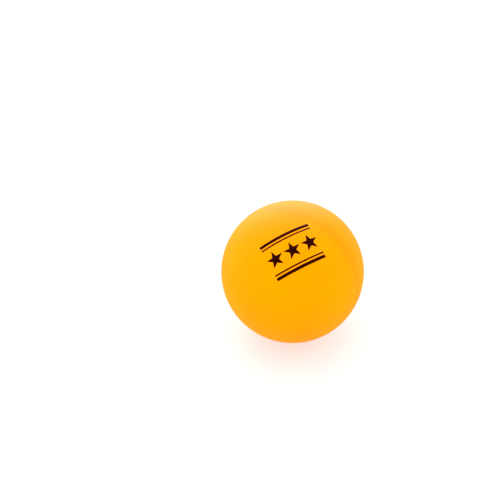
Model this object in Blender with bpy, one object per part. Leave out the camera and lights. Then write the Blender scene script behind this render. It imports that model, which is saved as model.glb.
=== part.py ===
"""A 40 mm table tennis ball: two cemented celluloid cups and the ink printed on one of them.

Run it with blender --background --python part.py, or from the text editor.

Metres, +Z up. The origin is the ball's centre. The seam lies in the XZ plane, and both cups
are turned about the Y axis: the printed cup faces -Y and the plain cup faces +Y. The printed
cup's rim is stepped inwards into a lip, which tucks under the plain cup's rim and is cemented
there. Latitudes are measured from the seam, and are positive towards the plain cup.
"""

import math

import bmesh
import bpy
from mathutils import Matrix, Vector

MM = 0.001

# Driving dimensions of the ball.
BALL_RADIUS = 20.0 * MM
WALL = 0.38 * MM
LIP_WALL = 0.30 * MM
LIP_LENGTH = 2.2 * MM
STEP_START = 0.45 * MM
STEP_END = 1.10 * MM

# The cement: a film inside the lap, a line where the rims meet, and a bead behind the lip.
FILM_SPACE = 0.06 * MM
RIM_SPACE = 0.14 * MM
BEAD_LENGTH = 0.55 * MM
CEMENT_RECESS = 0.02 * MM
FIT_GAP = 0.01 * MM

# The printed mark: three stars in a row between two pairs of rules. Its middle lies this far
# from the printed cup's pole and this far round the Y axis from the top, and its base line is
# turned this much from square to the meridian.
PRINT_FROM_POLE = math.radians(59.3)
PRINT_ROUND_AXIS = math.radians(18.5)
PRINT_TURN = math.radians(61.1)
INK_HEIGHT = 0.01 * MM
INK_THICKNESS = 0.03 * MM
STAR_RADIUS = 2.6 * MM
STAR_WAIST = 0.40
STAR_SPACING = 5.35 * MM
RULE_LENGTH = 15.4 * MM
THICK_RULE_WIDTH = 0.90 * MM
THIN_RULE_WIDTH = 0.45 * MM
THICK_RULE_UP = 5.2 * MM
THIN_RULE_UP = 4.05 * MM

# Facets.
SEGMENTS = 64
OUTER_RINGS = 16
INNER_RINGS = 14
LAP_RINGS = 2
STAR_RINGS = 3
RULE_PIECES = 12

# Latitudes that the pieces share.
RIM_EDGE = 0.5 * RIM_SPACE / BALL_RADIUS
LIP_EDGE = LIP_LENGTH / BALL_RADIUS
BEAD_EDGE = (LIP_LENGTH + BEAD_LENGTH) / BALL_RADIUS
GAP_ANGLE = FIT_GAP / BALL_RADIUS
POLE = 0.5 * math.pi

# Radii that the pieces share.
INNER_RADIUS = BALL_RADIUS - WALL
LIP_OUTER_RADIUS = INNER_RADIUS - FILM_SPACE
LIP_INNER_RADIUS = LIP_OUTER_RADIUS - LIP_WALL


def clear_scene():
    for thing in list(bpy.data.objects):
        bpy.data.objects.remove(thing, do_unlink=True)


def principled(name, colour, roughness):
    material = bpy.data.materials.new(name)
    material.use_nodes = True
    shader = material.node_tree.nodes["Principled BSDF"]
    shader.inputs["Base Color"].default_value = (*colour, 1.0)
    shader.inputs["Roughness"].default_value = roughness
    shader.inputs["Metallic"].default_value = 0.0
    return material


def add_object(name, bm, material):
    """Makes the named object from a closed bmesh, with its faces pointing out."""
    bmesh.ops.recalc_face_normals(bm, faces=bm.faces)
    mesh = bpy.data.meshes.new(name)
    bm.to_mesh(mesh)
    bm.free()
    mesh.shade_smooth()
    mesh.set_sharp_from_angle(angle=math.radians(35.0))
    mesh.materials.append(material)
    thing = bpy.data.objects.new(name, mesh)
    bpy.context.scene.collection.objects.link(thing)
    return thing


# Turned pieces


def arc(radius, start, end, rings):
    """Points on a circle about the centre, from one latitude to another, as (radius, latitude)."""
    return [(radius, start + (end - start) * i / rings) for i in range(rings + 1)]


def turn(name, profile, closed, material):
    """Spins a profile of (radius, latitude) points once round the Y axis.

    An open profile runs from the axis to the axis, and a closed one makes a ring.
    """
    bm = bmesh.new()
    points = []
    for radius, latitude in profile:
        from_axis = radius * math.cos(latitude) if abs(latitude) < POLE else 0.0
        points.append(bm.verts.new((from_axis, radius * math.sin(latitude), 0.0)))
    edges = [bm.edges.new(pair) for pair in zip(points, points[1:])]
    if closed:
        edges.append(bm.edges.new((points[-1], points[0])))
    bmesh.ops.spin(
        bm,
        geom=points + edges,
        cent=(0.0, 0.0, 0.0),
        axis=(0.0, 1.0, 0.0),
        angle=math.tau,
        steps=SEGMENTS,
        use_merge=True,
        use_duplicate=False,
    )
    bmesh.ops.remove_doubles(bm, verts=bm.verts, dist=0.001 * MM)
    return add_object(name, bm, material)


def printed_half(material):
    """The cup towards -Y: the ball's surface, the shoulder, the lip, then the inner wall."""
    profile = arc(BALL_RADIUS, -POLE, -RIM_EDGE, OUTER_RINGS)
    profile += arc(LIP_OUTER_RADIUS, -RIM_EDGE, LIP_EDGE, LAP_RINGS)
    profile += arc(LIP_INNER_RADIUS, LIP_EDGE, -STEP_START / BALL_RADIUS, LAP_RINGS)
    profile += arc(INNER_RADIUS, -STEP_END / BALL_RADIUS, -POLE, INNER_RINGS)
    return turn("printed_half", profile, False, material)


def plain_half(material):
    """The cup towards +Y, whose rim overlaps the lip."""
    profile = arc(BALL_RADIUS, POLE, RIM_EDGE, OUTER_RINGS)
    profile += arc(INNER_RADIUS, RIM_EDGE, LIP_EDGE, LAP_RINGS)
    profile += arc(INNER_RADIUS, BEAD_EDGE, POLE, INNER_RINGS)
    return turn("plain_half", profile, False, material)


def seam_cement(material):
    """The cement ring: flush line between the rims, film over the lip, bead behind the lip."""
    near_rim = RIM_EDGE - GAP_ANGLE
    past_lip = LIP_EDGE + GAP_ANGLE
    line_radius = BALL_RADIUS - CEMENT_RECESS
    profile = [(line_radius, -near_rim), (line_radius, near_rim)]
    profile += arc(INNER_RADIUS - FIT_GAP, near_rim, LIP_EDGE, LAP_RINGS)
    profile.append((INNER_RADIUS - FIT_GAP, BEAD_EDGE))
    profile.append((LIP_INNER_RADIUS + FILM_SPACE, past_lip))
    profile += arc(LIP_OUTER_RADIUS + FIT_GAP, past_lip, -near_rim, LAP_RINGS)
    return turn("seam_cement", profile, True, material)


# Printed ink


def print_frame():
    """The turn that carries artwork at the -Y pole, +X right and +Z up, to its place."""
    turned = Matrix.Rotation(-PRINT_TURN, 3, "Y")
    tipped = Matrix.Rotation(-PRINT_FROM_POLE, 3, "X")
    rounded = Matrix.Rotation(PRINT_ROUND_AXIS, 3, "Y")
    return rounded @ tipped @ turned


def wrap(frame, across, up, radius):
    """Where a point of the flat artwork lands when the artwork is rolled on to the ball."""
    distance = math.hypot(across, up)
    angle = distance / BALL_RADIUS
    sideways = Vector((across, 0.0, up)).normalized() * math.sin(angle)
    return frame @ (sideways + Vector((0.0, -math.cos(angle), 0.0))) * radius


def add_ink(name, bm, frame, material):
    """Wraps flat artwork, drawn in X and Z, on to the ball and gives it its thickness."""
    bottom = BALL_RADIUS + INK_HEIGHT
    for point in bm.verts:
        point.co = wrap(frame, point.co.x, point.co.z, bottom)
    raised = bmesh.ops.extrude_face_region(bm, geom=bm.faces[:], use_keep_orig=True)
    for item in raised["geom"]:
        if isinstance(item, bmesh.types.BMVert):
            item.co *= (bottom + INK_THICKNESS) / bottom
    return add_object(name, bm, material)


def star(name, across, frame, material):
    """A five-pointed star: rings of ten points round its middle, so that it follows the ball."""
    bm = bmesh.new()
    middle = bm.verts.new((across, 0.0, 0.0))
    rings = []
    for ring in range(1, STAR_RINGS + 1):
        share = ring / STAR_RINGS
        points = []
        for corner in range(10):
            reach = STAR_RADIUS * share * (STAR_WAIST if corner % 2 else 1.0)
            angle = math.radians(90.0 + 36.0 * corner)
            place = (across + reach * math.cos(angle), 0.0, reach * math.sin(angle))
            points.append(bm.verts.new(place))
        rings.append(points)
    for corner in range(10):
        after = (corner + 1) % 10
        bm.faces.new((middle, rings[0][corner], rings[0][after]))
        for inner, outer in zip(rings, rings[1:]):
            bm.faces.new((inner[corner], outer[corner], outer[after], inner[after]))
    return add_ink(name, bm, frame, material)


def rule(name, middle_up, width, frame, material):
    """A straight bar along the artwork's base line."""
    bm = bmesh.new()
    edges = []
    for i in range(RULE_PIECES + 1):
        across = RULE_LENGTH * (i / RULE_PIECES - 0.5)
        lower = bm.verts.new((across, 0.0, middle_up - 0.5 * width))
        upper = bm.verts.new((across, 0.0, middle_up + 0.5 * width))
        edges.append((lower, upper))
    for (lower, upper), (next_lower, next_upper) in zip(edges, edges[1:]):
        bm.faces.new((lower, next_lower, next_upper, upper))
    return add_ink(name, bm, frame, material)


def printed_mark(material):
    frame = print_frame()
    star("print_star_left", -STAR_SPACING, frame, material)
    star("print_star_centre", 0.0, frame, material)
    star("print_star_right", STAR_SPACING, frame, material)
    rule("print_rule_top_thick", THICK_RULE_UP, THICK_RULE_WIDTH, frame, material)
    rule("print_rule_top_thin", THIN_RULE_UP, THIN_RULE_WIDTH, frame, material)
    rule("print_rule_bottom_thin", -THIN_RULE_UP, THIN_RULE_WIDTH, frame, material)
    rule("print_rule_bottom_thick", -THICK_RULE_UP, THICK_RULE_WIDTH, frame, material)


def main():
    clear_scene()
    printed_half(principled("orange_celluloid_printed", (1.0, 0.40, 0.015), 0.5))
    plain_half(principled("orange_celluloid_plain", (1.0, 0.40, 0.015), 0.5))
    seam_cement(principled("amber_cement", (0.72, 0.22, 0.01), 0.35))
    printed_mark(principled("maroon_ink", (0.055, 0.008, 0.008), 0.4))


main()
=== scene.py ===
"""The looks of a 40 mm table tennis ball: satin orange celluloid, its cemented seam and its ink.

Everything is in metres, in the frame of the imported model: the origin is the ball's centre, the
seam lies in the XZ plane, the printed cup faces -Y and the plain cup faces +Y. Latitudes are
measured from the seam, and are positive towards the plain cup.
"""

import math

import bpy
import numpy as np
from mathutils import Matrix, Vector, noise

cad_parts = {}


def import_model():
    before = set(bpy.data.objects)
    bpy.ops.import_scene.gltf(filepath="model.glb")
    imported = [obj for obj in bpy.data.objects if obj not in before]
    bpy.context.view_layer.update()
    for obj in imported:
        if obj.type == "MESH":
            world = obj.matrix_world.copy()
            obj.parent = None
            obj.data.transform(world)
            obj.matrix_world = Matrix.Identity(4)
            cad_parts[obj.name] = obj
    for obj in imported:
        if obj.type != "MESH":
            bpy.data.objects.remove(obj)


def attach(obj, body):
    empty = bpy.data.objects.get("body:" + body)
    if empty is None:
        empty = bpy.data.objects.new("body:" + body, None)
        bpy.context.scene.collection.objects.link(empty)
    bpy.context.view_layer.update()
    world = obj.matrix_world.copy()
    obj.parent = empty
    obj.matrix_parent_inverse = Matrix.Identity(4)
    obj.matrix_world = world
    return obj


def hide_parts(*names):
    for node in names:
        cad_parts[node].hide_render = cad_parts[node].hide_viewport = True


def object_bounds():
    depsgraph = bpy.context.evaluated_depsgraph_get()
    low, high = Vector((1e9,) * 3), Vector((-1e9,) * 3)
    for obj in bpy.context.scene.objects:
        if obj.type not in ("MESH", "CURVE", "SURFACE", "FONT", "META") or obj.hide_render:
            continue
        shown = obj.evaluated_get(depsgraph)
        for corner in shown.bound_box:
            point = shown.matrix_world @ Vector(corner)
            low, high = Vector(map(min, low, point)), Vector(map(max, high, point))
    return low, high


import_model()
CAD_LOW, CAD_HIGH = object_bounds()

MM = 0.001

# The ball, from the frame, and its wall and seam, as in the CAD.
BALL_RADIUS = 0.5 * (CAD_HIGH.y - CAD_LOW.y)
WALL = 0.38 * MM
LIP_WALL = 0.30 * MM
LIP_LENGTH = 2.2 * MM
STEP_START = 0.45 * MM
STEP_END = 1.10 * MM
FILM_SPACE = 0.06 * MM
RIM_SPACE = 0.14 * MM
BEAD_LENGTH = 0.55 * MM
CEMENT_RECESS = 0.02 * MM
FIT_GAP = 0.01 * MM

# The printed mark, as in the CAD.
PRINT_FROM_POLE = math.radians(59.3)
PRINT_ROUND_AXIS = math.radians(18.5)
PRINT_TURN = math.radians(61.1)
INK_HEIGHT = 0.01 * MM
INK_THICKNESS = 0.03 * MM
STAR_RADIUS = 2.6 * MM
STAR_WAIST = 0.40
STAR_SPACING = 5.35 * MM
RULE_LENGTH = 15.4 * MM
THICK_RULE_WIDTH = 0.90 * MM
THIN_RULE_WIDTH = 0.45 * MM
THICK_RULE_UP = 5.2 * MM
THIN_RULE_UP = 4.05 * MM

# What only the fine meshes have: rounded rims and lip, softened corners of the ink, edges that
# crept a little, by one slice of a solid noise, and a film that reaches its full thickness this
# far in from its edge. It rises there as a quarter of a sine wave, which the edge enters at this
# share.
RIM_ROUNDING = 0.035 * MM
LIP_ROUNDING = 0.06 * MM
INK_CORNER = 0.10 * MM
INK_WOBBLE = 0.022 * MM
INK_WOBBLE_SIZE = 0.45 * MM
INK_WOBBLE_SLICE = 7.0 * MM
INK_FULL_FROM_EDGE = 0.15 * MM
INK_EDGE_SHARE = 0.25
INK_SHARP_ANGLE = math.radians(50.0)

# Mesh fineness.
SEGMENTS = 192
OUTER_RINGS = 72
INNER_RINGS = 40
LAP_RINGS = 8
LINE_RINGS = 4
CORNER_POINTS = 3
STAR_CORNERS = 10
STAR_SIDE_POINTS = 14
STAR_INNER_RINGS = 10
STAR_EDGE_RINGS = (0.93, 0.97, 1.0)
RULE_PIECES = 120
RULE_ROWS = 6
RULE_END_CROWDING = 0.02

# Colours, in linear red, green and blue.
ORANGE_DEEP = (1.0, 0.312, 0.0, 1.0)
ORANGE_PALE = (1.0, 0.338, 0.0, 1.0)
ORANGE_FROST = (1.0, 0.368, 0.0, 1.0)
# The next colour is painted shade over the lap: darker where the double wall lets less light
# through.
ORANGE_SHADED_OVER_LAP = (0.99, 0.282, 0.0, 1.0)
ORANGE_AT_JOINT = (0.96, 0.282, 0.0, 1.0)
ORANGE_GLOSS = (1.0, 0.48, 0.03, 1.0)
SPECK_BROWN = (0.35, 0.10, 0.01, 1.0)
AMBER_DEEP = (0.94, 0.273, 0.0, 1.0)
AMBER_PALE = (0.98, 0.306, 0.0, 1.0)
INK_WHERE_THIN = (0.085, 0.006, 0.001, 1.0)
INK_WHERE_FULL = (0.020, 0.0008, 0.0004, 1.0)
INK_WHERE_STARVED = (0.32, 0.06, 0.006, 1.0)
INK_GLOSS = (1.0, 0.30, 0.15, 1.0)
FLOOR_GREY = (0.43, 0.43, 0.43, 1.0)
FLOOR_GREY_PALER = (0.45, 0.45, 0.45, 1.0)
WHITE = (1.0, 1.0, 1.0, 1.0)

# The sizes of the patterns in the materials.
CLOUD_SIZE = 14.0 * MM
MOTTLE_SIZE = 2.2 * MM
FROST_SIZE = 0.42 * MM
SPECK_SPACING = 6.5 * MM
GRAIN_SIZE = 0.16 * MM
RUB_SIZE = 0.9 * MM
LAP_PATCH_SIZE = 5.0 * MM
CEMENT_BLOT_SIZE = 1.6 * MM
INK_PATCH_SIZE = 0.55 * MM
FINE_SIZE = 0.12 * MM
FLOOR_CLOUD_SIZE = 60.0 * MM
BUMP_DEPTH = 0.02 * MM

# How strongly each of these colours shows at most.
FROST_SHARE = 0.28
JOINT_LINE_SHARE = 0.15
SPECK_SHARE = 0.35
STARVED_SHARE = 0.35

# Where each of these patterns begins and where it is full. Specks go by the distance from a
# cell's middle, in cells, and the others by the value of a noise.
SPECK_EDGE = 0.030
SPECK_CORE = 0.012
RUB_EDGE = 0.58
RUB_CORE = 0.75
STARVED_EDGE = 0.72
STARVED_CORE = 0.82
THIN_FILM = 0.25
FULL_FILM = 1.15

# Rubs are noise drawn out along one slanting direction, and are this much less rough than the
# grain round them.
RUB_TURN = (0.4, 0.9, 0.2)
RUB_STRETCH = (1.0, 0.12, 1.0)
RUB_SMOOTHING = 0.06

# How much thicker the ink's film counts as at most, in patches, where 1 is a full film.
INK_PATCH_DEPTH = 0.6

# The darker band over the lap, which is painted shade: it stands in for the double wall letting
# less light shine through. Where it begins and is full, and where it starts to fade and is gone,
# as places along Y. Its strength is the sum of a least share, an uneven one and one that shows
# only round one side of the seam, which is this way round it.
LAP_BEGINS = -0.30 * MM
LAP_IS_FULL = 0.90 * MM
LAP_FADES = 1.6 * MM
LAP_IS_GONE = 5.0 * MM
LAP_LEAST_SHARE = 0.18
LAP_UNEVEN_SHARE = 0.42
LAP_SHADE_PEAK_SHARE = 0.36
LAP_SHADE_PEAK_ANGLE = math.radians(50.0)
LAP_SHADE_PEAK_WAY = Vector((math.cos(LAP_SHADE_PEAK_ANGLE), 0.0, math.sin(LAP_SHADE_PEAK_ANGLE)))
LAP_SHADE_PEAK_EDGE = 0.86 * BALL_RADIUS
LAP_SHADE_PEAK_CORE = 0.99 * BALL_RADIUS

# The line where the rims meet: half its width where it is full, and half its width in all.
JOINT_LINE_CORE = 0.10 * MM
JOINT_LINE_EDGE = 0.35 * MM

# The camera: the direction it sees the ball from, how far away it is, and where the ball lies in
# the picture, in ball radii from the picture's middle.
SIGHT_AZIMUTH = math.radians(28.0)
SIGHT_ELEVATION = math.radians(37.5)
CAMERA_DISTANCE = 0.709
SENSOR_WIDTH = 36.0
BALL_SHARE_OF_FRAME = 0.28556
BALL_RIGHT = 0.596
BALL_UP = -0.303
NEAR_CLIP = 0.05
FAR_CLIP = 50.0

# The white room: its brightness, and how much it brightens and dims towards one direction and
# away from it. The floor glows a little, so that it is as white as the room behind it.
BRIGHTEST_WAY = Vector((-0.30, 0.35, 0.88))
WORLD_STRENGTH = 1.165
WORLD_GRADIENT = 0.22
FLOOR_REACH = 20.0
FLOOR_GLOW = 0.52

# Latitudes and radii that the pieces share.
POLE = 0.5 * math.pi
RIM_EDGE = 0.5 * RIM_SPACE / BALL_RADIUS
LIP_EDGE = LIP_LENGTH / BALL_RADIUS
BEAD_EDGE = (LIP_LENGTH + BEAD_LENGTH) / BALL_RADIUS
GAP_ANGLE = FIT_GAP / BALL_RADIUS
INNER_RADIUS = BALL_RADIUS - WALL
LIP_OUTER_RADIUS = INNER_RADIUS - FILM_SPACE
LIP_INNER_RADIUS = LIP_OUTER_RADIUS - LIP_WALL

# Anything nearer to the axis than this is on it, and points nearer together are the same point.
SAME_PLACE = 1e-9


# ---------------------------------------------------------------- materials


class Nodes:
    """A short way to add nodes to one material's tree and link them."""

    def __init__(self, name):
        self.material = bpy.data.materials.new(name)
        self.material.use_nodes = True
        self.tree = self.material.node_tree
        self.shader = self.tree.nodes["Principled BSDF"]
        self.place = self.add("ShaderNodeTexCoord").outputs["Object"]

    def add(self, kind, inputs=None, **settings):
        """Adds a node. An input is either another node's socket, to link, or a plain value."""
        node = self.tree.nodes.new(kind)
        for key, value in settings.items():
            setattr(node, key, value)
        for key, value in (inputs or {}).items():
            if isinstance(value, bpy.types.NodeSocket):
                self.tree.links.new(value, node.inputs[key])
            else:
                node.inputs[key].default_value = value
        return node

    def maths(self, operation, first, second=0.0):
        return self.add("ShaderNodeMath", {0: first, 1: second}, operation=operation).outputs[0]

    def scaled(self, value, by, start):
        """The value times a number, on top of a start."""
        return self.maths("ADD", self.maths("MULTIPLY", value, by), start)

    def shared(self, first, second, weight):
        """A weighted mean: the first at this weight, and the second at the rest."""
        rest = self.maths("MULTIPLY", second, 1.0 - weight)
        return self.maths("ADD", self.maths("MULTIPLY", first, weight), rest)

    def smooth_step(self, value, low, high):
        """0 where the value is at low or beyond, 1 at high or beyond, and a smooth rise between."""
        node = self.add(
            "ShaderNodeMapRange",
            {"Value": value, "From Min": low, "From Max": high},
            interpolation_type="SMOOTHSTEP",
        )
        return node.outputs["Result"]

    def noise(self, size, detail=2.0, roughness=0.5, place=None):
        """Noise between 0 and 1 whose features are about this size, in metres."""
        inputs = {
            "Vector": self.place if place is None else place,
            "Scale": 1.0 / size,
            "Detail": detail,
            "Roughness": roughness,
        }
        return self.add("ShaderNodeTexNoise", inputs).outputs[0]

    def spread(self, noise_value):
        """Noise, which keeps mostly between 0.35 and 0.65, spread out from 0 to 1."""
        return self.smooth_step(noise_value, 0.35, 0.65)

    def mix(self, share, first, second):
        """The first colour, with this share of the second."""
        node = self.add("ShaderNodeMix", {0: share, 6: first, 7: second}, data_type="RGBA")
        return node.outputs[2]

    def bump(self, height, strength):
        inputs = {"Height": height, "Strength": strength, "Distance": BUMP_DEPTH}
        self.drive("Normal", self.add("ShaderNodeBump", inputs).outputs["Normal"])

    def drive(self, socket, value):
        self.tree.links.new(value, self.shader.inputs[socket])

    def fix(self, **values):
        """Sets the shader's own sockets. A name's underscores stand for spaces."""
        for key, value in values.items():
            self.shader.inputs[key.replace("_", " ")].default_value = value


def painted_lap_shade(nodes, along):
    """How strongly the painted shade over the lap shows at each place: a darker colour that stands
    in for the double wall letting less light through.

    It starts at the joint, is darkest over the lip and fades past the cement behind it. It is
    strongest round one side of the seam, and uneven everywhere.
    """
    towards_plain = nodes.smooth_step(along, LAP_IS_GONE, LAP_FADES)
    past_joint = nodes.smooth_step(along, LAP_BEGINS, LAP_IS_FULL)
    lap = nodes.maths("MULTIPLY", towards_plain, past_joint)
    inputs = {0: nodes.place, 1: LAP_SHADE_PEAK_WAY}
    reach = nodes.add("ShaderNodeVectorMath", inputs, operation="DOT_PRODUCT").outputs["Value"]
    near_peak = nodes.smooth_step(reach, LAP_SHADE_PEAK_EDGE, LAP_SHADE_PEAK_CORE)
    strength = nodes.scaled(near_peak, by=LAP_SHADE_PEAK_SHARE, start=LAP_LEAST_SHARE)
    uneven = nodes.maths("MULTIPLY", nodes.noise(LAP_PATCH_SIZE), LAP_UNEVEN_SHARE)
    return nodes.maths("MULTIPLY", lap, nodes.maths("ADD", strength, uneven))


def celluloid():
    nodes = Nodes("satin_orange_celluloid")
    along = nodes.add("ShaderNodeSeparateXYZ", {"Vector": nodes.place}).outputs["Y"]

    # Pigment: broad soft clouds and finer mottling.
    clouds = nodes.noise(CLOUD_SIZE, detail=3.0, roughness=0.55)
    mottle = nodes.noise(MOTTLE_SIZE, detail=3.0, roughness=0.6)
    paler = nodes.spread(nodes.shared(clouds, mottle, weight=0.65))
    colour = nodes.mix(paler, ORANGE_DEEP, ORANGE_PALE)

    # A fine frosting from tumbling, a little paler than the pigment.
    frost = nodes.spread(nodes.noise(FROST_SIZE, detail=3.0, roughness=0.6))
    colour = nodes.mix(nodes.maths("MULTIPLY", frost, FROST_SHARE), colour, ORANGE_FROST)

    # The lap's band of painted shade, and the line where the rims meet.
    colour = nodes.mix(painted_lap_shade(nodes, along), colour, ORANGE_SHADED_OVER_LAP)
    from_joint = nodes.maths("ABSOLUTE", along)
    line = nodes.smooth_step(from_joint, JOINT_LINE_EDGE, JOINT_LINE_CORE)
    colour = nodes.mix(nodes.maths("MULTIPLY", line, JOINT_LINE_SHARE), colour, ORANGE_AT_JOINT)

    # Sparse specks of dust pressed into the sheet.
    inputs = {"Vector": nodes.place, "Scale": 1.0 / SPECK_SPACING}
    cells = nodes.add("ShaderNodeTexVoronoi", inputs, feature="F1")
    speck = nodes.smooth_step(cells.outputs["Distance"], SPECK_EDGE, SPECK_CORE)
    colour = nodes.mix(nodes.maths("MULTIPLY", speck, SPECK_SHARE), colour, SPECK_BROWN)
    nodes.drive("Base Color", colour)

    # Tumbled finish: an even fine grain, with faint longer rubs that are a little smoother.
    grain = nodes.noise(GRAIN_SIZE, roughness=0.6)
    inputs = {"Vector": nodes.place, "Rotation": RUB_TURN, "Scale": RUB_STRETCH}
    stretched = nodes.add("ShaderNodeMapping", inputs).outputs[0]
    rubs = nodes.noise(RUB_SIZE, detail=4.0, roughness=0.65, place=stretched)
    rubbed = nodes.smooth_step(rubs, RUB_EDGE, RUB_CORE)
    rubbed = nodes.maths("MULTIPLY", rubbed, RUB_SMOOTHING)
    roughness = nodes.maths("SUBTRACT", nodes.scaled(grain, by=0.10, start=0.58), rubbed)
    nodes.drive("Roughness", roughness)
    nodes.bump(nodes.shared(grain, rubs, weight=0.75), strength=0.12)

    nodes.fix(IOR=1.5, Specular_IOR_Level=0.05, Specular_Tint=ORANGE_GLOSS)
    return nodes.material


def cement():
    nodes = Nodes("amber_cement")
    blots = nodes.noise(CEMENT_BLOT_SIZE, detail=3.0, roughness=0.6)
    nodes.drive("Base Color", nodes.mix(nodes.spread(blots), AMBER_DEEP, AMBER_PALE))
    fine = nodes.noise(FINE_SIZE)
    nodes.drive("Roughness", nodes.scaled(fine, by=0.15, start=0.38))
    nodes.bump(fine, strength=0.2)
    nodes.fix(IOR=1.48, Specular_IOR_Level=0.06, Specular_Tint=ORANGE_GLOSS)
    return nodes.material


def ink():
    """Maroon ink: redder where its film thins out towards an edge, with starved pinpoints."""
    nodes = Nodes("maroon_ink")
    depth = nodes.add("ShaderNodeAttribute", attribute_name="ink_depth").outputs["Fac"]
    patches = nodes.noise(INK_PATCH_SIZE, detail=3.0, roughness=0.6)
    fine = nodes.noise(FINE_SIZE, roughness=0.6)
    film = nodes.maths("ADD", depth, nodes.maths("MULTIPLY", patches, INK_PATCH_DEPTH))
    full = nodes.smooth_step(film, THIN_FILM, FULL_FILM)
    colour = nodes.mix(full, INK_WHERE_THIN, INK_WHERE_FULL)
    starved = nodes.smooth_step(fine, STARVED_EDGE, STARVED_CORE)
    starved = nodes.maths("MULTIPLY", starved, STARVED_SHARE)
    nodes.drive("Base Color", nodes.mix(starved, colour, INK_WHERE_STARVED))
    nodes.drive("Roughness", nodes.scaled(fine, by=0.16, start=0.34))
    nodes.bump(patches, strength=0.2)
    nodes.fix(IOR=1.5, Specular_IOR_Level=0.05, Specular_Tint=INK_GLOSS)
    return nodes.material


# ---------------------------------------------------------------- pieces


def add_piece(node, points, faces, material):
    """Makes the fine mesh that stands for a CAD node, and puts it on the ball's one body."""
    name = node + "_fine"
    mesh = bpy.data.meshes.new(name)
    mesh.from_pydata(points, [], facing_out(points, faces))
    mesh.update()
    mesh.shade_smooth()
    mesh.materials.append(material)
    piece = bpy.data.objects.new(name, mesh)
    bpy.context.scene.collection.objects.link(piece)
    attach(piece, "root")
    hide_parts(node)
    return piece


def facing_out(points, faces):
    """The faces, turned round if the closed mesh they make is inside out."""
    volume = 0.0
    for face in faces:
        for second, third in zip(face[1:], face[2:]):
            a, b, c = (Vector(points[i]) for i in (face[0], second, third))
            volume += a.dot(b.cross(c))
    return faces if volume > 0 else [face[::-1] for face in faces]


# ---------------------------------------------------------------- turned pieces


def at(radius, latitude):
    """A point of a turned outline: its distance from the Y axis, and its place along it."""
    return Vector((radius * math.cos(latitude), radius * math.sin(latitude)))


def arc(radius, start, end, pieces):
    """Points on a circle about the centre, from one latitude to another."""
    return [at(radius, latitude) for latitude in np.linspace(start, end, pieces + 1)]


def rounded(before, corner, after, reach):
    """A curve that cuts the corner, from the side of one neighbour to the side of the other."""
    start = corner + (before - corner).normalized() * reach
    end = corner + (after - corner).normalized() * reach
    points = []
    for i in range(CORNER_POINTS + 1):
        t = i / CORNER_POINTS
        points.append(start * (1 - t) ** 2 + corner * 2 * t * (1 - t) + end * t**2)
    return points


def joined(stretches, roundings):
    """One outline through the stretches, with both corners of each step between them rounded."""
    outline = list(stretches[0])
    for stretch, rounding in zip(stretches[1:], roundings):
        leaving = outline.pop()
        arriving = stretch[0]
        outline += rounded(outline[-1], leaving, arriving, rounding)
        outline += rounded(leaving, arriving, stretch[1], rounding)
        outline += stretch[1:]
    return outline


def turned(outline, closed):
    """Points and faces of an outline spun once round the Y axis, poles as single points."""
    points = []
    rows = []
    for place in outline:
        if place.x < SAME_PLACE:
            rows.append([len(points)] * SEGMENTS)
            points.append((0.0, place.y, 0.0))
            continue
        rows.append(list(range(len(points), len(points) + SEGMENTS)))
        for i in range(SEGMENTS):
            angle = math.tau * i / SEGMENTS
            points.append((place.x * math.cos(angle), place.y, place.x * math.sin(angle)))
    pairs = list(zip(rows, rows[1:]))
    if closed:
        pairs.append((rows[-1], rows[0]))
    faces = []
    for first, second in pairs:
        for i in range(SEGMENTS):
            j = (i + 1) % SEGMENTS
            corners = (first[i], first[j], second[j], second[i])
            faces.append(tuple(dict.fromkeys(corners)))
    return points, faces


def add_cup(node, outline, material):
    """Turns an outline that runs from the axis to the axis."""
    outline[0].x = 0.0
    outline[-1].x = 0.0
    points, faces = turned(outline, closed=False)
    add_piece(node, points, faces, material)


def printed_half(material):
    """The ball's surface, the shoulder, the lip and, past the step, the inner wall."""
    stretches = [
        arc(BALL_RADIUS, -POLE, -RIM_EDGE, OUTER_RINGS),
        arc(LIP_OUTER_RADIUS, -RIM_EDGE, LIP_EDGE, LAP_RINGS),
        arc(LIP_INNER_RADIUS, LIP_EDGE, -STEP_START / BALL_RADIUS, LAP_RINGS),
        arc(INNER_RADIUS, -STEP_END / BALL_RADIUS, -POLE, INNER_RINGS),
    ]
    outline = joined(stretches, [RIM_ROUNDING, LIP_ROUNDING, LIP_ROUNDING])
    add_cup("printed_half", outline, material)


def plain_half(material):
    stretches = [
        arc(BALL_RADIUS, POLE, RIM_EDGE, OUTER_RINGS),
        arc(INNER_RADIUS, RIM_EDGE, BEAD_EDGE, LAP_RINGS),
    ]
    outline = joined(stretches, [RIM_ROUNDING])
    outline += arc(INNER_RADIUS, BEAD_EDGE, POLE, INNER_RINGS)[1:]
    add_cup("plain_half", outline, material)


def seam_cement(material):
    """The cement ring: flush line between the rims, film over the lip, bead behind the lip."""
    near_rim = RIM_EDGE - GAP_ANGLE
    past_lip = LIP_EDGE + 2 * GAP_ANGLE
    outline = arc(BALL_RADIUS - CEMENT_RECESS, -near_rim, near_rim, LINE_RINGS)
    outline += arc(INNER_RADIUS - FIT_GAP, near_rim, BEAD_EDGE, LAP_RINGS)
    outline.append(at(LIP_INNER_RADIUS + FILM_SPACE, past_lip))
    outline += arc(LIP_OUTER_RADIUS + FIT_GAP, past_lip, -near_rim, LAP_RINGS)
    points, faces = turned(outline, closed=True)
    add_piece("seam_cement", points, faces, material)


# ---------------------------------------------------------------- printed ink


def print_frame():
    """The turn that carries artwork at the -Y pole, +X right and +Z up, to its place."""
    turned_by = Matrix.Rotation(-PRINT_TURN, 3, "Y")
    tipped_by = Matrix.Rotation(-PRINT_FROM_POLE, 3, "X")
    round_by = Matrix.Rotation(PRINT_ROUND_AXIS, 3, "Y")
    return round_by @ tipped_by @ turned_by


PRINT_FRAME = print_frame()


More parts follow.
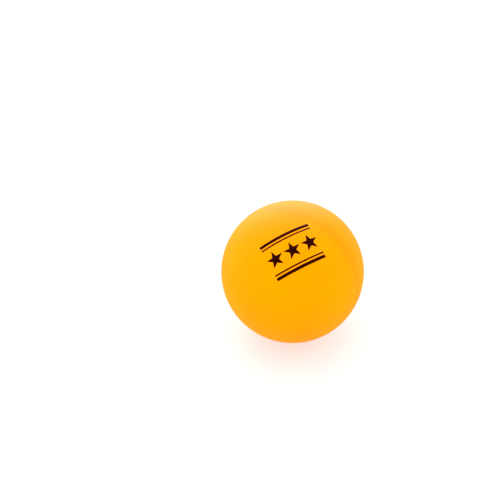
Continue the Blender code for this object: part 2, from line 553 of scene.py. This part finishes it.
def wrap(across, up, radius):
    """Where a point of the flat artwork lands when the artwork is rolled on to the ball."""
    distance = math.hypot(across, up)
    angle = distance / BALL_RADIUS
    sideways = Vector((across, 0.0, up)).normalized() * math.sin(angle)
    return PRINT_FRAME @ (sideways + Vector((0.0, -math.cos(angle), 0.0))) * radius


def wobble(across, up):
    """How far the ink's edge has crept here: a small smooth random move, in and out."""
    place = Vector((across, up, INK_WOBBLE_SLICE)) / INK_WOBBLE_SIZE
    return INK_WOBBLE * noise.noise(place)


def film_rise(depth):
    """How high the film's top stands over its bottom, which is least along its edge."""
    share = min(1.0, INK_EDGE_SHARE + depth)
    return INK_THICKNESS * math.sin(0.5 * math.pi * share)


def add_ink(node, grid, wraps_round, material):
    """A film of ink from rows of flat points (across, up, depth).

    Depth is 0 at the film's edge and 1 where the film is full. The bottom follows the ball.
    """
    bottom = BALL_RADIUS + INK_HEIGHT
    flat = [place for row in grid for place in row]
    points = [wrap(across, up, bottom + film_rise(depth)) for across, up, depth in flat]
    points += [wrap(across, up, bottom) for across, up, _ in flat]
    depths = [depth for _, _, depth in flat] * 2
    rows = len(grid)
    columns = len(grid[0])
    count = rows * columns
    faces = []
    for i in range(rows - 1):
        for j in range(columns if wraps_round else columns - 1):
            k = (j + 1) % columns
            face = (i * columns + j, i * columns + k, (i + 1) * columns + k, (i + 1) * columns + j)
            faces.append(face)
            faces.append(tuple(count + corner for corner in face[::-1]))
    for a, b in border_of(rows, columns, wraps_round):
        faces.append((a, b, count + b, count + a))
    points, where = merge_same(points)
    merged_faces = []
    for face in faces:
        corners = tuple(dict.fromkeys(where[i] for i in face))
        if len(corners) > 2:
            merged_faces.append(corners)
    piece = add_piece(node, points, merged_faces, material)
    piece.data.set_sharp_from_angle(angle=INK_SHARP_ANGLE)
    values = [0.0] * len(points)
    for i, depth in zip(where, depths):
        values[i] = depth
    attribute = piece.data.attributes.new("ink_depth", "FLOAT", "POINT")
    attribute.data.foreach_set("value", values)


def border_of(rows, columns, wraps_round):
    """The grid's outer edges as pairs of point numbers, each against the run of its own face."""
    last = (rows - 1) * columns
    if wraps_round:
        return [(last + j, last + (j + 1) % columns) for j in range(columns)]
    walk = list(range(columns))
    walk += [i * columns + columns - 1 for i in range(1, rows)]
    walk += [last + j for j in range(columns - 2, -1, -1)]
    walk += [i * columns for i in range(rows - 2, 0, -1)]
    return [(b, a) for a, b in zip(walk, walk[1:] + walk[:1])]


def merge_same(points):
    """The distinct points, and for each point the number of its distinct one."""
    numbers = {}
    merged = []
    where = []
    for point in points:
        key = tuple(round(x / SAME_PLACE) for x in point)
        if key not in numbers:
            numbers[key] = len(merged)
            merged.append(tuple(point))
        where.append(numbers[key])
    return merged, where


def star_outline(middle):
    """A star's edge with slightly rounded corners, as flat points round its middle."""
    corners = []
    for i in range(STAR_CORNERS):
        reach = STAR_RADIUS * (STAR_WAIST if i % 2 else 1.0)
        angle = math.radians(90.0 + 360.0 / STAR_CORNERS * i)
        corners.append(Vector((reach * math.cos(angle), reach * math.sin(angle))))
    outline = []
    for i, corner in enumerate(corners):
        before = corners[i - 1]
        after = corners[(i + 1) % STAR_CORNERS]
        bend = rounded(before, corner, after, INK_CORNER)
        outline += bend
        start = bend[-1]
        end = after + (corner - after).normalized() * INK_CORNER
        for step in range(1, STAR_SIDE_POINTS):
            outline.append(start.lerp(end, step / STAR_SIDE_POINTS))
    crept = []
    for point in outline:
        grown = 1.0 + wobble(middle + point.x, point.y) / point.length
        crept.append(point * grown)
    return crept


def star(node, middle, material):
    """Rings from the star's middle to its edge, closer together along the edge."""
    shares = [ring / STAR_INNER_RINGS * STAR_EDGE_RINGS[0] for ring in range(STAR_INNER_RINGS)]
    shares += STAR_EDGE_RINGS
    outline = star_outline(middle)
    grid = []
    for share in shares:
        row = []
        for point in outline:
            depth = min(1.0, (1.0 - share) * point.length / INK_FULL_FROM_EDGE)
            row.append((middle + point.x * share, point.y * share, depth))
        grid.append(row)
    add_ink(node, grid, True, material)


def rule(node, middle_up, width, material):
    """Rows along a bar, closer together along its edges and its ends."""
    half_length = 0.5 * RULE_LENGTH
    columns = []
    for i in range(RULE_PIECES + 1):
        crowded = -math.cos(math.pi * i / RULE_PIECES)
        even = 2 * i / RULE_PIECES - 1
        columns.append(crowded * RULE_END_CROWDING + even * (1.0 - RULE_END_CROWDING))
    grid = []
    for i in range(RULE_ROWS + 1):
        side = math.sin(0.5 * math.pi * (2 * i / RULE_ROWS - 1))
        row = []
        for column in columns:
            across = half_length * column
            from_end = half_length - abs(across)
            short = max(0.0, INK_CORNER - from_end)
            half_width = 0.5 * width - INK_CORNER + math.sqrt(max(0.0, INK_CORNER**2 - short**2))
            edge = half_width + wobble(across, middle_up + side * width)
            inside = min((1.0 - abs(side)) * half_width, from_end)
            depth = min(1.0, inside / INK_FULL_FROM_EDGE)
            row.append((across, middle_up + side * edge, depth))
        grid.append(row)
    add_ink(node, grid, False, material)


def printed_mark(material):
    star("print_star_left", -STAR_SPACING, material)
    star("print_star_centre", 0.0, material)
    star("print_star_right", STAR_SPACING, material)
    rule("print_rule_top_thick", THICK_RULE_UP, THICK_RULE_WIDTH, material)
    rule("print_rule_top_thin", THIN_RULE_UP, THIN_RULE_WIDTH, material)
    rule("print_rule_bottom_thin", -THIN_RULE_UP, THIN_RULE_WIDTH, material)
    rule("print_rule_bottom_thick", -THICK_RULE_UP, THICK_RULE_WIDTH, material)


# ---------------------------------------------------------------- stage


def floor():
    nodes = Nodes("pale_floor")
    soft = nodes.noise(FLOOR_CLOUD_SIZE, detail=3.0)
    nodes.drive("Base Color", nodes.mix(soft, FLOOR_GREY, FLOOR_GREY_PALER))
    nodes.fix(Roughness=0.75, Specular_IOR_Level=0.1)
    nodes.fix(Emission_Color=WHITE, Emission_Strength=FLOOR_GLOW)
    sides = ((-1, -1), (1, -1), (1, 1), (-1, 1))
    corners = [(FLOOR_REACH * x, FLOOR_REACH * y, CAD_LOW.z) for x, y in sides]
    mesh = bpy.data.meshes.new("floor")
    mesh.from_pydata(corners, [], [(0, 1, 2, 3)])
    mesh.materials.append(nodes.material)
    plane = bpy.data.objects.new("floor", mesh)
    bpy.context.scene.collection.objects.link(plane)


def world():
    """A white room: brightest overhead and behind the ball, a little dimmer behind the camera."""
    made = bpy.data.worlds.new("white_room")
    made.use_nodes = True
    tree = made.node_tree
    background = tree.nodes["Background"]
    background.inputs["Color"].default_value = WHITE
    direction = tree.nodes.new("ShaderNodeTexCoord").outputs["Generated"]
    facing = tree.nodes.new("ShaderNodeVectorMath")
    facing.operation = "DOT_PRODUCT"
    facing.inputs[1].default_value = BRIGHTEST_WAY.normalized()
    tree.links.new(direction, facing.inputs[0])
    strength = tree.nodes.new("ShaderNodeMath")
    strength.operation = "MULTIPLY_ADD"
    strength.inputs[1].default_value = WORLD_GRADIENT
    strength.inputs[2].default_value = WORLD_STRENGTH
    tree.links.new(facing.outputs["Value"], strength.inputs[0])
    tree.links.new(strength.outputs[0], background.inputs["Strength"])
    bpy.context.scene.world = made


def softbox(name, place, side, watts):
    """A square light that faces the ball."""
    light = bpy.data.lights.new(name, "AREA")
    light.shape = "SQUARE"
    light.size = side
    light.energy = watts
    lamp = bpy.data.objects.new(name, light)
    lamp.location = place
    lamp.rotation_euler = (-Vector(place)).to_track_quat("-Z", "Y").to_euler()
    bpy.context.scene.collection.objects.link(lamp)
    return lamp


def lights():
    """Four soft boxes. The strong one behind the ball shows only in its gloss."""
    softbox("key_softbox", (-0.45, 0.25, 0.80), side=0.8, watts=1.2)
    behind = softbox("back_softbox", (-0.49, 0.72, 0.38), side=0.9, watts=29.0)
    behind.visible_diffuse = False
    softbox("left_softbox", (-0.62, -0.54, 0.02), side=0.4, watts=2.0)
    softbox("right_softbox", (0.80, 0.08, 0.02), side=0.4, watts=1.2)


def camera():
    """Looks from the line of sight's far end, turned aside so that the ball lies off-centre."""
    back = Vector(
        (
            math.sin(SIGHT_AZIMUTH) * math.cos(SIGHT_ELEVATION),
            -math.cos(SIGHT_AZIMUTH) * math.cos(SIGHT_ELEVATION),
            math.sin(SIGHT_ELEVATION),
        )
    )
    data = bpy.data.cameras.new("camera")
    data.sensor_width = SENSOR_WIDTH
    apparent = BALL_RADIUS / math.sqrt(CAMERA_DISTANCE**2 - BALL_RADIUS**2)
    data.lens = 0.5 * BALL_SHARE_OF_FRAME * SENSOR_WIDTH / apparent
    data.clip_start = NEAR_CLIP
    data.clip_end = FAR_CLIP
    across = math.atan(BALL_RIGHT * apparent)
    upward = math.atan(BALL_UP * apparent * math.cos(across))
    level = (-back).to_track_quat("-Z", "Y").to_matrix()
    aside = Matrix.Rotation(-upward, 3, "X") @ Matrix.Rotation(across, 3, "Y")
    seen = bpy.data.objects.new("camera", data)
    seen.location = back * CAMERA_DISTANCE
    seen.rotation_euler = (level @ aside).to_euler()
    bpy.context.scene.collection.objects.link(seen)
    bpy.context.scene.camera = seen


def main():
    bpy.context.scene.view_settings.view_transform = "Standard"
    shell = celluloid()
    printed_half(shell)
    plain_half(shell)
    seam_cement(cement())
    printed_mark(ink())
    floor()
    world()
    lights()
    camera()


main()
